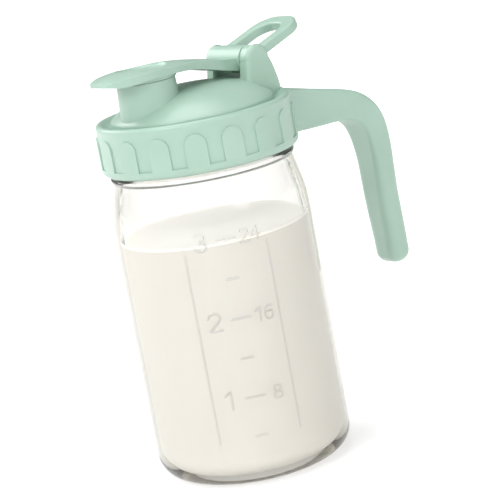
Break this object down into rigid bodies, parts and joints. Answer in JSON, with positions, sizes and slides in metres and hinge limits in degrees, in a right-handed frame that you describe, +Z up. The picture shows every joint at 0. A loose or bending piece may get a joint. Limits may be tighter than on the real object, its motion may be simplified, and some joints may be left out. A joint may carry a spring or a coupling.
{
  "type": "jar pitcher",
  "caption": "Wide-mouth glass storage jar with a mint-green screw-on pouring lid: handled collar, domed spout, hinged flip cap and hinged carry loop.",
  "frame": {"origin": "on the jar's axis, in the plane that the jar stands on", "axes": "+Z up along the jar's axis, +X towards the handle, -X towards the spout"},
  "size_m": [0.1645, 0.096, 0.208],
  "materials": {
    "clear_glass": "clear and smooth, with raised scale marks",
    "mint_plastic": "satin moulded",
    "silicone": "soft, matt, translucent",
    "stainless": "drawn"
  },
  "bodies": {
    "jar": {"glass_jar": "clear_glass"},
    "seal": {"lid_gasket": "silicone"},
    "lid": {"handle_collar": "mint_plastic", "spout_dome": "mint_plastic", "hinge_pin": "stainless"},
    "cap": {"flip_cap": "mint_plastic", "cap_seal": "silicone"},
    "loop": {"carry_loop": "mint_plastic"}
  },
  "joints": [
    {"name": "lid_lift", "type": "slide", "parent": "jar", "child": "seal", "axis": [0, 0, 1], "range_m": [0, 0.0065]},
    {"name": "lid_turn", "type": "hinge", "parent": "seal", "child": "lid", "pos_m": [0, 0, 0.1714], "axis": [0, 0, 1], "range_deg": [0, 450]},
    {"name": "cap_hinge", "type": "hinge", "parent": "lid", "child": "cap", "pos_m": [0.0305, 0, 0.1944], "axis": [0, 1, 0], "range_deg": [0, 110]},
    {"name": "loop_hinge", "type": "hinge", "parent": "lid", "child": "loop", "pos_m": [0.0305, 0, 0.1944], "axis": [0, 1, 0], "range_deg": [-26, 43]}
  ],
  "couplings": [
    {"joint": "lid_lift", "follows": "lid_turn", "m_per_rad": 0.00080851}
  ]
}
